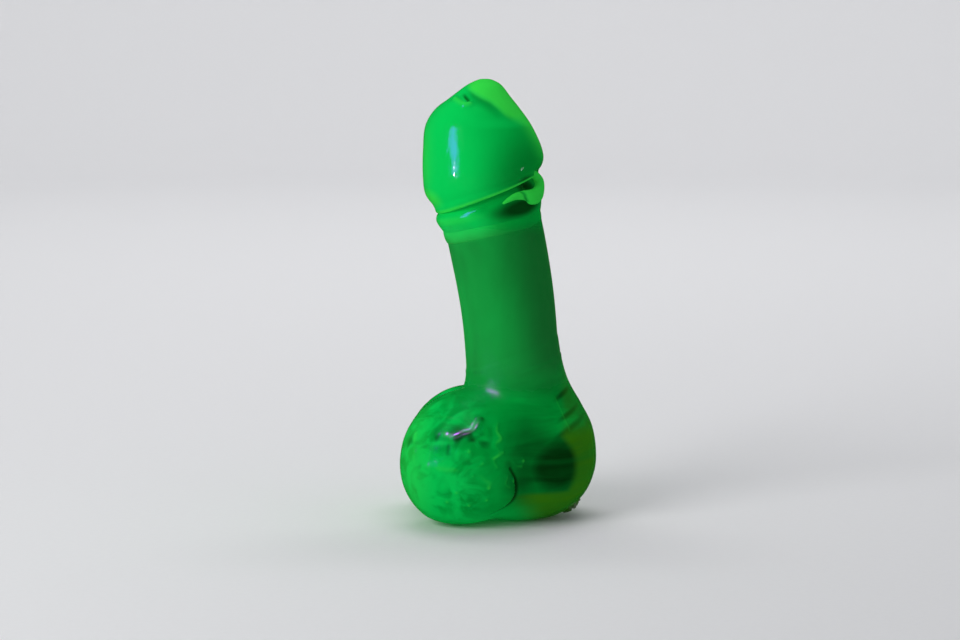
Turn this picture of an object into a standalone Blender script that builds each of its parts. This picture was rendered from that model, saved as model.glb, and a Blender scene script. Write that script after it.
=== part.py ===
"""Standing art-glass figure in uranium glass, hot-worked and fused from separate gathers and bits.

One Blender object stands for each gather, wrap or bit that the glassworker adds. On the real object
they are fused; here each keeps its own solid, with a small gap to the glass it is pressed against.

Frame: metres, +Z up, origin on the rest plane under the middle of the base. The figure's plane of
symmetry is XZ. The two rounded lobes stand at -X, the heel of the column at +X, and the head leans
towards -X.
"""

import math
from collections import namedtuple

import bmesh
import bpy
from mathutils import Vector

MM = 0.001

# Driving dimensions, in millimetres.
TOTAL_HEIGHT = 150.0
COLUMN_RADIUS = 16.0
COLUMN_FOOT_Z = 9.0
COLUMN_UPRIGHT_Z = 38.0
COLUMN_UPRIGHT_X = 5.5
COLUMN_BEND_RADIUS = 275.0
NECK_RADIUS = 16.2
NECK_Z = 97.0
CORE_TIP_Z = 137.0
LOBE_TILT = -24.0
NEAR_LOBE_RADII = (21.8, 19.5, 23.6)
NEAR_LOBE_CENTRE = (-11.3, -12.3, 22.4)
FAR_LOBE_RADII = (20.8, 19.2, 22.2)
FAR_LOBE_CENTRE = (-11.0, 12.6, 21.0)
FOLD_RADII = (6.6, 12.5, 6.2)
FOLD_CENTRE = (6.6, -7.2, 112.4)
FOLD_TILT = 20.0
FOLD_TURN = -35.0
TRAIL_RADIUS = 1.3
TRAIL_SINK = 0.3
TRAIL_Z = 101.0
TRAIL_TILT = 15.5
DIMPLE_RADII = (1.1, 3.4, 1.9)
DIMPLE_CENTRE = (-10.7, -8.5, 144.4)
DIMPLE_TILT = 20.0
DIMPLE_TURN = 31.0
SCAR_RADII = (4.8, 3.8, 1.7)
SCAR_CENTRE = (25.0, -3.0, 4.4)
SCAR_TILT = 42.0
SCAR_ROUGHNESS = 0.5

# How far a cutter grows past the glass that it stands for, so that neighbours keep about 0.3 mm.
GROWTH = 0.4
# Corners closer than this after the cuts are merged.
SHORTEST_EDGE = 0.03
SIDES = 36
STEPS = 3

# A section is an ellipse across the figure: its ends in the XZ plane and half its depth along Y.
Section = namedtuple("Section", "left_x left_z right_x right_z half_depth")

HEAD_SECTIONS = (
    Section(-17.6, 103.6, 10.8, 116.4, 14.4),
    Section(-21.6, 104.8, 13.0, 118.2, 17.8),
    Section(-25.0, 109.6, 14.8, 120.9, 19.8),
    Section(-25.8, 116.6, 15.0, 124.0, 20.2),
    Section(-25.7, 126.2, 13.8, 128.8, 19.6),
    Section(-24.9, 134.2, 10.7, 134.9, 17.6),
    Section(-21.6, 139.8, 7.1, 140.0, 14.2),
    Section(-16.3, 143.8, 4.1, 143.8, 10.2),
    Section(-10.8, 147.9, 0.9, 147.9, 5.8),
    Section(-6.8, TOTAL_HEIGHT - 0.2, -2.2, TOTAL_HEIGHT - 0.3, 2.2),
    Section(-5.2, TOTAL_HEIGHT, -3.8, TOTAL_HEIGHT, 0.7),
)
COLLAR_SECTIONS = (
    Section(-15.8, 96.9, 13.8, 104.9, 15.2),
    Section(-18.4, 98.8, 14.6, 106.6, 17.2),
    Section(-20.1, 101.2, 14.7, 109.6, 18.0),
    Section(-21.0, 104.6, 14.5, 113.6, 18.4),
    Section(-20.9, 110.0, 13.2, 119.0, 18.0),
)
ROOT_SECTIONS = (
    Section(-6.0, 0.0, 17.5, 0.0, 14.0),
    Section(-8.4, 2.4, 24.0, 2.4, 17.6),
    Section(-9.4, 8.0, 29.4, 8.0, 20.2),
    Section(-9.6, 15.5, 32.7, 15.5, 21.2),
    Section(-9.8, 23.0, 33.4, 23.0, 21.8),
    Section(-10.2, 30.0, 32.3, 31.5, 21.4),
    Section(-10.9, 37.0, 28.8, 39.0, 20.4),
    Section(-11.4, 41.5, 25.0, 45.6, 18.8),
    Section(-11.5, 45.0, 22.8, 51.0, 17.6),
    Section(-11.5, 47.5, 21.9, 55.0, 17.1),
)


def clear_scene():
    for thing in list(bpy.data.objects):
        bpy.data.objects.remove(thing)


def collection(name):
    made = bpy.data.collections.new(name)
    bpy.context.scene.collection.children.link(made)
    return made


def glass(name, colour, roughness=0.06):
    material = bpy.data.materials.new(name)
    material.use_nodes = True
    shader = material.node_tree.nodes["Principled BSDF"]
    shader.inputs["Base Color"].default_value = (*colour, 1.0)
    shader.inputs["Roughness"].default_value = roughness
    shader.inputs["Metallic"].default_value = 0.0
    shader.inputs["IOR"].default_value = 1.52
    return material


def put_in(thing, home):
    for owner in thing.users_collection:
        owner.objects.unlink(thing)
    home.objects.link(thing)


def piece(name, mesh, home, material=None):
    thing = bpy.data.objects.new(name, mesh)
    home.objects.link(thing)
    if material:
        mesh.materials.append(material)
    return thing


def smooth_shade(thing):
    thing.data.shade_smooth()
    thing.data.set_sharp_from_angle(angle=math.radians(40))


def spline_through(rows, steps):
    """Catmull-Rom points through rows of numbers, with steps points for each span."""
    points = []
    for i in range(len(rows) - 1):
        before, start = rows[max(i - 1, 0)], rows[i]
        end, after = rows[i + 1], rows[min(i + 2, len(rows) - 1)]
        for step in range(steps):
            t = step / steps
            points.append(
                [
                    0.5 * (2 * b + (c - a) * t + (2 * a - 5 * b + 4 * c - d) * t**2
                           + (3 * b - a - 3 * c + d) * t**3)
                    for a, b, c, d in zip(before, start, end, after)
                ]
            )
    points.append(list(rows[-1]))
    return points


def loft(name, sections, home, material=None):
    """A closed body through elliptical sections, from the lowest to the highest."""
    shape = bmesh.new()
    rings = []
    for row in spline_through(sections, STEPS):
        section = Section(*row)
        left = Vector((section.left_x, 0, section.left_z))
        right = Vector((section.right_x, 0, section.right_z))
        middle, across = (left + right) / 2, (right - left) / 2
        deep = Vector((0, section.half_depth, 0))
        turns = (2 * math.pi * k / SIDES for k in range(SIDES))
        rings.append(
            [shape.verts.new((middle + across * math.cos(a) + deep * math.sin(a)) * MM) for a in turns]
        )
    for low, high in zip(rings, rings[1:]):
        for k in range(SIDES):
            after = (k + 1) % SIDES
            shape.faces.new((low[k], low[after], high[after], high[k]))
    shape.faces.new(reversed(rings[0]))
    shape.faces.new(rings[-1])
    bmesh.ops.recalc_face_normals(shape, faces=shape.faces)
    mesh = bpy.data.meshes.new(name)
    shape.to_mesh(mesh)
    shape.free()
    return piece(name, mesh, home, material)


def ellipsoid(name, centre, radii, tilt, home, material=None, turn=0.0):
    """A sphere stretched to three radii, its +X side raised by tilt degrees, then turned about Z."""
    bpy.ops.mesh.primitive_uv_sphere_add(segments=SIDES, ring_count=SIDES // 2, radius=1)
    thing = bpy.context.object
    thing.name = name
    thing.scale = Vector(radii) * MM
    bpy.ops.object.transform_apply(scale=True)
    thing.location = Vector(centre) * MM
    thing.rotation_euler = (0, -math.radians(tilt), math.radians(turn))
    put_in(thing, home)
    if material:
        thing.data.materials.append(material)
    return thing


def column_x(z):
    """Where the bent column's centreline stands at height z: upright at the foot, then on one arc."""
    rise = max(z - COLUMN_UPRIGHT_Z, 0.0)
    return COLUMN_UPRIGHT_X - (COLUMN_BEND_RADIUS - math.sqrt(COLUMN_BEND_RADIUS**2 - rise**2))


def column_core(home, material):
    """The first gather: a bent rod of glass with a domed tip that ends inside the head."""
    dome_start = CORE_TIP_Z - COLUMN_RADIUS
    heights = [COLUMN_FOOT_Z, 20.0, 30.0, 40.0, 50.0, 60.0, 70.0, 80.0, 90.0, NECK_Z, 106.0, 114.0]
    stations = [(z, COLUMN_RADIUS if z < NECK_Z else NECK_RADIUS) for z in heights]
    dome_turns = [math.radians(a) for a in (8, 24, 40, 55, 68, 79, 87)]
    stations += [
        (dome_start + COLUMN_RADIUS * math.sin(a), NECK_RADIUS * math.cos(a)) for a in dome_turns
    ]
    curve = bpy.data.curves.new("column_path", "CURVE")
    curve.dimensions = "3D"
    curve.bevel_depth = MM
    curve.bevel_resolution = SIDES // 4 - 2
    curve.use_fill_caps = True
    line = curve.splines.new("POLY")
    line.points.add(len(stations) - 1)
    for point, (z, radius) in zip(line.points, stations):
        point.co = (column_x(z) * MM, 0, z * MM, 1)
        point.radius = radius
    guide = bpy.data.objects.new("column_guide", curve)
    home.objects.link(guide)
    graph = bpy.context.evaluated_depsgraph_get()
    mesh = bpy.data.meshes.new_from_object(guide.evaluated_get(graph))
    bpy.data.objects.remove(guide)
    shape = bmesh.new()
    shape.from_mesh(mesh)
    bmesh.ops.remove_doubles(shape, verts=shape.verts, dist=0.00005)
    bmesh.ops.recalc_face_normals(shape, faces=shape.faces)
    shape.to_mesh(mesh)
    shape.free()
    mesh.materials.clear()
    return piece("column_core", mesh, home, material)


def neck_trail(home, material):
    """A thin trail of glass wound once round the neck, tilted like the collar above it."""
    bpy.ops.mesh.primitive_torus_add(
        location=(column_x(TRAIL_Z) * MM, 0, TRAIL_Z * MM),
        rotation=(0, -math.radians(TRAIL_TILT), 0),
        major_radius=(NECK_RADIUS - TRAIL_SINK) * MM,
        minor_radius=TRAIL_RADIUS * MM,
        major_segments=SIDES + 8,
        minor_segments=12,
    )
    thing = bpy.context.object
    thing.name = "neck_trail"
    put_in(thing, home)
    thing.data.materials.append(material)
    return thing


def roughen(thing, depth):
    """Moves each vertex in or out a little along its normal, by a fixed pattern."""
    for vertex in thing.data.vertices:
        x, y, z = vertex.co / MM
        wave = math.sin(2.3 * x + 1.0) * math.cos(2.9 * y) + math.sin(3.1 * z + 1.7 * x)
        vertex.co += vertex.normal * wave * depth * MM / 2


def box(name, low, high, home):
    """A box between two corners, in millimetres."""
    bpy.ops.mesh.primitive_cube_add(size=1)
    thing = bpy.context.object
    thing.name = name
    low, high = Vector(low), Vector(high)
    thing.scale = (high - low) * MM
    bpy.ops.object.transform_apply(scale=True)
    thing.location = (low + high) / 2 * MM
    put_in(thing, home)
    return thing


def as_cutter(thing):
    thing.hide_render = True
    thing.display_type = "WIRE"
    return thing


def grown(thing, home):
    """A cutter in the shape of a piece before its own cuts, grown outwards along its normals."""
    cutter = bpy.data.objects.new("grown_" + thing.name, thing.data.copy())
    cutter.matrix_basis = thing.matrix_basis.copy()
    home.objects.link(cutter)
    for vertex in cutter.data.vertices:
        vertex.co += vertex.normal * GROWTH * MM
    return as_cutter(cutter)


def cut(thing, *cutters):
    for cutter in cutters:
        change = thing.modifiers.new("cut_" + cutter.name, "BOOLEAN")
        change.operation = "DIFFERENCE"
        change.solver = "EXACT"
        change.object = cutter
    merge = thing.modifiers.new("merge_short_edges", "WELD")
    merge.merge_threshold = SHORTEST_EDGE * MM


def main():
    clear_scene()
    figure = collection("uranium_glass_figure")
    cutters = collection("cutters")

    column_glass = glass("column_glass", (0.0, 0.42, 0.12))
    head_glass = glass("head_glass", (0.0, 0.55, 0.13))
    wrap_glass = glass("wrap_glass", (0.05, 0.62, 0.12))
    base_glass = glass("base_glass", (0.01, 0.48, 0.11))
    scar_glass = glass("scar_glass", (0.05, 0.35, 0.10), roughness=0.45)

    core = column_core(figure, column_glass)
    head = loft("head_gather", HEAD_SECTIONS, figure, head_glass)
    fold = ellipsoid("fold_bit", FOLD_CENTRE, FOLD_RADII, FOLD_TILT, figure, wrap_glass, FOLD_TURN)
    trail = neck_trail(figure, wrap_glass)
    collar = loft("collar_wrap", COLLAR_SECTIONS, figure, wrap_glass)
    root = loft("root_gather", ROOT_SECTIONS, figure, base_glass)
    near = ellipsoid("near_lobe", NEAR_LOBE_CENTRE, NEAR_LOBE_RADII, LOBE_TILT, figure, base_glass)
    far = ellipsoid("far_lobe", FAR_LOBE_CENTRE, FAR_LOBE_RADII, LOBE_TILT, figure, base_glass)
    scar = ellipsoid("pontil_scar", SCAR_CENTRE, SCAR_RADII, SCAR_TILT, figure, scar_glass)
    roughen(scar, SCAR_ROUGHNESS)

    dimple = ellipsoid("dimple", DIMPLE_CENTRE, DIMPLE_RADII, DIMPLE_TILT, cutters, turn=DIMPLE_TURN)
    as_cutter(dimple)
    below = as_cutter(box("below_rest_plane", (-60, -60, -20), (60, 60, 0), cutters))
    near_half = as_cutter(box("near_side", (-60, -60, -5), (60, 0.15, 60), cutters))
    far_half = as_cutter(box("far_side", (-60, -0.15, -5), (60, 60, 60), cutters))
    core_space, head_space = grown(core, cutters), grown(head, cutters)
    fold_space, trail_space = grown(fold, cutters), grown(trail, cutters)
    root_space = grown(root, cutters)

    cut(head, core_space, dimple)
    cut(fold, core_space, head_space)
    cut(trail, core_space)
    cut(collar, core_space, head_space, fold_space, trail_space)
    cut(root, core_space)
    cut(near, below, far_half, core_space, root_space)
    cut(far, below, near_half, core_space, root_space)
    cut(scar, below, root_space)
    for thing in figure.objects:
        smooth_shade(thing)


main()
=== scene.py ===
"""Looks for the standing art-glass figure: fused uranium glass, glowing green.

Each gather, wrap and bit is a closed mesh of its own. The glass is fused, so the column, heel and lobes
are one smooth surface, made as the zero surface of a distance field and then parted at the welds.

Fields, lines and sections are in millimetres; the meshes are in metres, in the frame of the CAD model.
The figure's plane of symmetry is XZ, with the lobes at -X and the heel at +X.
"""

import math

import bmesh
import bpy
import numpy as np
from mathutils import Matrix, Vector


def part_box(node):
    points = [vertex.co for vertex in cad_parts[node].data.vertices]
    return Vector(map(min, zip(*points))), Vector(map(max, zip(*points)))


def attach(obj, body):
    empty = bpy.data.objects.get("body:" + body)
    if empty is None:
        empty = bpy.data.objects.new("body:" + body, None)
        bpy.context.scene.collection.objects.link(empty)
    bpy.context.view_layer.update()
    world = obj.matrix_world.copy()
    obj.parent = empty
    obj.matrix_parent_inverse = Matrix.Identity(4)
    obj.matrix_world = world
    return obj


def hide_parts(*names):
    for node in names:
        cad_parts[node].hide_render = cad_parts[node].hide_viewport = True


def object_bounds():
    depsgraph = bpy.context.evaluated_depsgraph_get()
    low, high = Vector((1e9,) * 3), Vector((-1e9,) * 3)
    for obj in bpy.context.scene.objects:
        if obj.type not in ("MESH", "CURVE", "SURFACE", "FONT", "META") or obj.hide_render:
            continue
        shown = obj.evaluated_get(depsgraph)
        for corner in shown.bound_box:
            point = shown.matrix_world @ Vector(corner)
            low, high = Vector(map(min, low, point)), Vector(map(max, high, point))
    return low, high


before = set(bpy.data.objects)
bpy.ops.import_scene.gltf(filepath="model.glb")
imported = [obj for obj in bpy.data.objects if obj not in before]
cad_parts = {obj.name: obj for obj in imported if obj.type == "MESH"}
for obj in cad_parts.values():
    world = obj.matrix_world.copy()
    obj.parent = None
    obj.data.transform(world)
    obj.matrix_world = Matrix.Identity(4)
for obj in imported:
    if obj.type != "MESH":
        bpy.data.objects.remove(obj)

MM = 0.001
CAD_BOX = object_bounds()

# ---------------------------------------------------------------------------------------------------
# Driving shapes, in millimetres. A section is (left x, left z, right x, right z, half depth along y).

HEAD_SECTIONS = (
    (-17.0, 104.9, 10.4, 116.6, 14.6),
    (-20.5, 105.0, 12.9, 118.1, 17.8),
    (-23.1, 108.3, 14.3, 120.2, 19.0),
    (-25.0, 111.8, 15.1, 122.4, 19.8),
    (-25.6, 117.6, 15.1, 124.8, 20.1),
    (-25.6, 126.2, 13.8, 128.8, 19.6),
    (-24.9, 134.2, 10.7, 134.9, 17.6),
    (-21.6, 139.8, 7.1, 140.0, 14.2),
    (-16.3, 143.8, 4.1, 143.8, 10.2),
    (-10.8, 147.9, 0.9, 147.9, 5.8),
    (-6.8, 149.8, -2.2, 149.7, 2.2),
    (-5.2, 150.0, -3.8, 150.0, 0.7),
)
COLLAR_SECTIONS = (
    (-15.6, 95.6, 13.9, 103.6, 14.6),
    (-18.5, 98.2, 14.5, 106.4, 16.6),
    (-20.3, 101.4, 14.8, 109.2, 17.6),
    (-20.9, 104.0, 14.5, 112.4, 17.7),
    (-19.6, 106.6, 13.4, 115.0, 16.9),
    (-16.0, 110.5, 11.0, 118.0, 14.4),
)
ROOT_SECTIONS = (
    (-6.0, -3.0, 14.0, -3.0, 7.0),
    (-8.2, 1.4, 22.4, 1.4, 13.4),
    (-9.4, 8.0, 29.6, 8.0, 19.0),
    (-9.6, 15.5, 33.1, 15.5, 21.2),
    (-9.8, 23.0, 33.8, 23.0, 21.8),
    (-10.2, 30.0, 32.4, 31.5, 21.2),
    (-10.9, 37.0, 28.7, 39.0, 19.9),
    (-11.0, 42.0, 24.8, 46.0, 18.0),
    (-10.6, 46.0, 22.2, 53.0, 16.4),
    (-9.8, 50.0, 19.8, 61.0, 14.6),
)
COLUMN_RADIUS = 16.0
NECK_RADIUS = 16.3
COLUMN_FOOT_Z = 9.0
COLUMN_UPRIGHT_Z = 38.0
COLUMN_UPRIGHT_X = 5.5
COLUMN_BEND_RADIUS = 275.0
CORE_TIP_Z = 137.0
NEAR_LOBE = dict(centre=(-11.3, -12.3, 22.4), radii=(21.9, 19.3, 23.8), tilt=-24.0)
FAR_LOBE = dict(centre=(-11.0, 12.6, 21.0), radii=(21.0, 19.0, 22.6), tilt=-24.0)
SCAR = dict(centre=(25.2, -3.4, 4.2), radii=(4.2, 3.3, 1.5), tilt=42.0)
TRAIL_Z = 101.0
TRAIL_TILT = 15.5
TRAIL_HALF_WIDTH = 2.8
TRAIL_HALF_HEIGHT = 0.75

# How softly neighbouring gathers run into each other, and how round the foot's edge is.
LOBE_FUSION = 1.6
HEEL_FUSION = 7.0
COLUMN_FUSION = 2.6
FOOT_ROUNDING = 4.0

# The weld between the column and the heel: its height over the origin and its rise towards +X.
WELD_Z = 51.0
WELD_RISE = 0.29
# The welds between the heel and each lobe pass through this point, mirrored for the far side.
LOBE_WELD_POINT = (5.0, 24.0, 15.0)
LOBE_WELD_NORMAL = (-0.886, 0.463, 0.0)

# The fold: a tongue of glass laid under the head's rim, from its thick root to its thin tail.
FOLD_LINE = (
    ((11.6, -6.4, 118.8), 1.2),
    ((13.5, -5.0, 116.3), 1.5),
    ((13.6, -5.8, 113.6), 1.8),
    ((12.3, -8.6, 111.3), 2.5),
    ((10.6, -11.2, 111.1), 2.4),
    ((8.4, -13.4, 111.8), 1.6),
    ((5.6, -15.4, 111.6), 1.1),
    ((3.2, -16.6, 110.5), 0.7),
    ((1.6, -17.2, 109.5), 0.35),
)
FOLD_POCKET = (10.4, -11.6, 115.9)

# How finely smooth curves are divided, between two sections and between two points of a line.
SECTION_STEPS = 12
LINE_STEPS = 4
# How often the search along the sections is halved.
HALVINGS = 7


# ---------------------------------------------------------------------------------------------------
# Distance fields. Each takes rows of points in millimetres and returns about how far outside they are.


def join(a, b, softness):
    blend = np.clip(0.5 + 0.5 * (b - a) / softness, 0.0, 1.0)
    return b + (a - b) * blend - softness * blend * (1.0 - blend)


def overlap(a, b, softness):
    return -join(-a, -b, softness)


def lofted(points, sections):
    """A body through elliptical sections. Also returns where along the sections each point lies."""
    table = np.array(sections)
    last = len(sections) - 1
    fine = np.linspace(0, last, last * SECTION_STEPS + 1)
    rows = np.array([spline_at(table, t) for t in fine])
    x, y, z = points.T

    def rise_over(place):
        lx, lz, rx, rz = (np.interp(place, fine, rows[:, i]) for i in range(4))
        return (rx - lx) * (z - lz) - (rz - lz) * (x - lx)

    low, high = np.zeros(len(points)), np.full(len(points), float(last))
    for _ in range(HALVINGS):
        middle = (low + high) / 2
        above = rise_over(middle) > 0
        low, high = np.where(above, middle, low), np.where(above, high, middle)
    over_low, over_high = rise_over(low), rise_over(high)
    share = over_low / np.where(over_low > over_high, over_low - over_high, 1)
    place = low + (high - low) * np.clip(share, 0, 1)
    lx, lz, rx, rz, deep = (np.interp(place, fine, rows[:, i]) for i in range(5))
    across_x, across_z = (rx - lx) / 2, (rz - lz) / 2
    half = np.hypot(across_x, across_z)
    u = ((x - (lx + rx) / 2) * across_x + (z - (lz + rz) / 2) * across_z) / half**2
    v = y / deep
    reach = np.hypot(u, v) + 1e-9
    side = reach * (reach - 1) / (np.hypot(u / half, v / deep) + 1e-9)
    ends = []
    for lx, lz, rx, rz, _ in (sections[0], sections[-1]):
        ends.append(((rx - lx) * (z - lz) - (rz - lz) * (x - lx)) / math.hypot(rx - lx, rz - lz))
    return overlap(overlap(side, -ends[0], 0.5), ends[1], 0.5), place


def spline_at(table, t):
    """The Catmull-Rom row at t, counted in rows from 0."""
    i = min(int(t), len(table) - 2)
    t -= i
    a, b, c, d = (table[min(max(j, 0), len(table) - 1)] for j in range(i - 1, i + 3))
    return 0.5 * (2 * b + (c - a) * t + (2 * a - 5 * b + 4 * c - d) * t**2 + (3 * b - a - 3 * c + d) * t**3)


def smooth_rows(rows):
    """The rows, with more between each two, on a smooth curve. LINE_STEPS counts from one to the next."""
    table = np.array(rows, float)
    places = np.linspace(0, len(table) - 1, LINE_STEPS * (len(table) - 1) + 1)
    return np.array([spline_at(table, place) for place in places])


def ellipsoid(points, centre, radii, tilt):
    """An ellipsoid with its +X side raised by tilt degrees."""
    angle = math.radians(tilt)
    x, y, z = (points - np.array(centre)).T
    along = x * math.cos(angle) + z * math.sin(angle)
    up = z * math.cos(angle) - x * math.sin(angle)
    local = np.stack([along, y, up], axis=1) / np.array(radii)
    reach = np.linalg.norm(local, axis=1) + 1e-9
    return reach * (reach - 1) / (np.linalg.norm(local / np.array(radii), axis=1) + 1e-9)


def column_x(z):
    rise = np.maximum(z - COLUMN_UPRIGHT_Z, 0.0)
    return COLUMN_UPRIGHT_X - COLUMN_BEND_RADIUS + np.sqrt(COLUMN_BEND_RADIUS**2 - rise**2)


def column(points):
    """The bent rod: upright at the foot, then on one arc, with a domed tip inside the head."""
    x, y, z = points.T
    hub_x = COLUMN_UPRIGHT_X - COLUMN_BEND_RADIUS
    on_arc = np.hypot(x - hub_x, z - COLUMN_UPRIGHT_Z) - COLUMN_BEND_RADIUS
    offset = np.where(z > COLUMN_UPRIGHT_Z, on_arc, x - COLUMN_UPRIGHT_X)
    swell = np.clip((z - 62.0) / 35.0, 0, 1)
    radius = COLUMN_RADIUS + (NECK_RADIUS - COLUMN_RADIUS) * swell * swell * (3 - 2 * swell)
    shaft = np.hypot(offset, y) - radius
    dome_z = CORE_TIP_Z - NECK_RADIUS
    dome = np.sqrt((x - column_x(dome_z)) ** 2 + y**2 + (z - dome_z) ** 2) - NECK_RADIUS
    return np.where(z > dome_z, dome, np.maximum(shaft, COLUMN_FOOT_Z - z))


def line_distance(points, line):
    """How far each point is from a line through corners."""
    nearest = np.full(len(points), 1e9)
    corners = np.array(line, float)
    for start, end in zip(corners, corners[1:]):
        run = end - start
        t = np.clip((points - start) @ run / (run @ run), 0, 1)
        nearest = np.minimum(nearest, np.linalg.norm(points - start - t[:, None] * run, axis=1))
    return nearest


def ridge(points, line, height, width):
    """A rounded ridge, or a groove where height is negative, along a line on the surface."""
    return height * band(line_distance(points, line), 0, width)


def bump(points, centre, height, width):
    return height * np.exp(-((points - np.array(centre)) ** 2).sum(axis=1) / width**2)


def band(value, centre, width):
    """1 at the centre of a soft band, and 0 well away from it."""
    return np.exp(-(((value - centre) / width) ** 2))


def rising(value, steepness):
    """A smooth step from 0 to 1 where value passes 0."""
    return 1 / (1 + np.exp(-steepness * value))


def near(points, centre, radii):
    """About 1 at the centre, fading to 0 past the radii."""
    reach = np.linalg.norm((points - np.array(centre)) / np.array(radii), axis=1)
    return rising(1 - reach, 6)


def cells(points, seeds):
    """How far each point is from the border between its two nearest seeds."""
    first, second = np.full(len(points), 1e9), np.full(len(points), 1e9)
    for seed in seeds:
        away = np.linalg.norm(points - seed, axis=1)
        second = np.minimum(second, np.maximum(first, away))
        first = np.minimum(first, away)
    return second - first


def ripple(points, wavelength, seed):
    """A slow unevenness of a hand-worked surface, between about -1 and 1."""
    draw = np.random.default_rng(seed)
    total = np.zeros(len(points))
    for _ in range(6):
        direction = draw.normal(size=3)
        direction *= 2 * math.pi / (wavelength * np.linalg.norm(direction)) * draw.uniform(0.7, 1.5)
        total += np.sin(points @ direction + draw.uniform(0, 2 * math.pi))
    return total / 3


# ---------------------------------------------------------------------------------------------------
# The body: column, heel and lobes in one fused surface.


def body(points):
    heel, _ = lofted(points, ROOT_SECTIONS)
    lobes = join(ellipsoid(points, **NEAR_LOBE), ellipsoid(points, **FAR_LOBE), LOBE_FUSION)
    base = join(heel, lobes, HEEL_FUSION)
    return overlap(join(base, column(points), COLUMN_FUSION), -points[:, 2], FOOT_ROUNDING)


# Tool marks on a lobe's front, for the near side; the far side mirrors them. Each is a line of points
# near the surface, with its height and width.
RAISED = (
    (
        ((-0.4, -25.2, 36.6), (-1.0, -26.4, 34.2), (0.6, -27.0, 32.0), (-1.4, -28.2, 30.2),
         (0.2, -28.6, 27.6), (-1.8, -29.4, 25.4), (-0.6, -29.4, 22.8)), 0.45, 0.8,
    ),
    (((-28.6, -22.6, 33.0), (-28.2, -23.8, 28.0), (-27.2, -24.4, 23.0), (-25.6, -25.0, 19.4)), 0.45, 1.2),
    (((-23.6, -27.0, 34.4), (-22.6, -28.0, 30.0), (-22.8, -28.2, 25.6)), 0.45, 1.1),
    (((-25.0, -21.8, 39.0), (-19.0, -25.0, 39.6), (-13.6, -26.4, 38.4)), 0.4, 1.3),
    (
        ((-24.0, -27.0, 23.4), (-17.0, -30.2, 22.4), (-10.4, -31.4, 22.8), (-6.6, -31.2, 20.4),
         (-3.0, -30.2, 17.6)), 0.35, 1.3,
    ),
    (((-8.8, -31.4, 25.6), (-5.2, -30.6, 26.6), (-2.4, -29.8, 26.0), (0.8, -28.6, 26.6)), 0.35, 0.7),
    (((-11.4, -31.4, 20.8), (-9.4, -31.4, 23.0), (-7.0, -31.2, 23.2), (-5.4, -30.6, 24.4)), 0.4, 0.7),
    (((1.8, -27.0, 25.6), (4.2, -26.2, 25.0), (5.8, -25.2, 22.6), (7.6, -24.2, 22.0)), 0.35, 0.7),
    (((2.6, -27.0, 19.6), (1.6, -27.2, 17.2), (3.6, -26.4, 15.4)), 0.35, 0.6),
)
PLEAT = (
    (-14.4, -29.4, 32.0), (-11.8, -29.2, 33.6), (-8.8, -28.6, 34.2), (-7.0, -27.6, 36.2), (-5.8, -26.2, 38.4),
)
PLEAT_SHADOW = ((-9.8, -29.6, 31.6), (-7.6, -29.2, 32.6), (-5.2, -28.0, 33.8))
HOLLOW = ((-16.8, -30.0, 30.2), (-17.0, -30.3, 27.6))
CREASE = (
    (3.9, -26.2, 21.6), (5.7, -25.4, 18.4), (6.6, -24.6, 14.6), (6.4, -24.0, 10.8), (5.0, -23.6, 7.4),
    (2.2, -23.4, 4.8), (-1.6, -24.0, 3.0),
)
DISC_CENTRE = (-0.9, -28.6, 12.8)
DISC_RADIUS = 7.6
BEADS = (
    (-8.6, -31.6, 20.2), (-3.3, -30.2, 15.9), (-3.7, -29.6, 11.1), (-9.7, -30.4, 8.8), (-9.9, -31.2, 28.4),
    (1.4, -28.0, 27.5), (7.9, -23.4, 23.9), (4.7, -25.6, 17.6), (-17.3, -29.3, 10.6), (-14.0, -30.8, 14.4),
)
# Each dimple is a place and its radius.
DIMPLES = (
    ((-8.6, -31.6, 22.2), 2.6), ((4.6, -27.0, 23.4), 2.2), ((-13.6, -30.4, 36.0), 3.4),
    ((-21.0, -28.0, 33.0), 2.4), ((-12.0, -31.0, 25.8), 2.6), ((-4.4, -29.8, 30.4), 2.2),
    ((-29.6, -19.6, 29.0), 2.6), ((-26.0, -25.0, 21.4), 2.0),
)
# A low raised line on the heel's flare, tinted lighter as a painted highlight.
HIGHLIGHT_LINE = ((18.7, -14.0, 43.3), (21.2, -15.0, 37.7), (23.0, -15.4, 32.2))
HEEL_FLOW = (
    ((25.0, -13.6, 42.6), (27.4, -11.6, 38.0), (29.6, -10.4, 32.6)),
    ((14.0, -20.6, 34.0), (22.0, -18.2, 33.6), (28.0, -13.2, 35.8)),
    ((12.0, -21.6, 29.2), (20.0, -20.0, 28.2), (27.6, -15.2, 30.6)),
)


def laid(line, field, side=1.0):
    """A smooth line through points near a surface, brought on to it. Side -1 lays its mirror image."""
    table = smooth_rows(line) if len(line) > 1 else np.array(line, float)
    for _ in range(3):
        table = settled(table * (1, side, 1), field, 2.0) * (1, side, 1)
    return table


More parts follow.
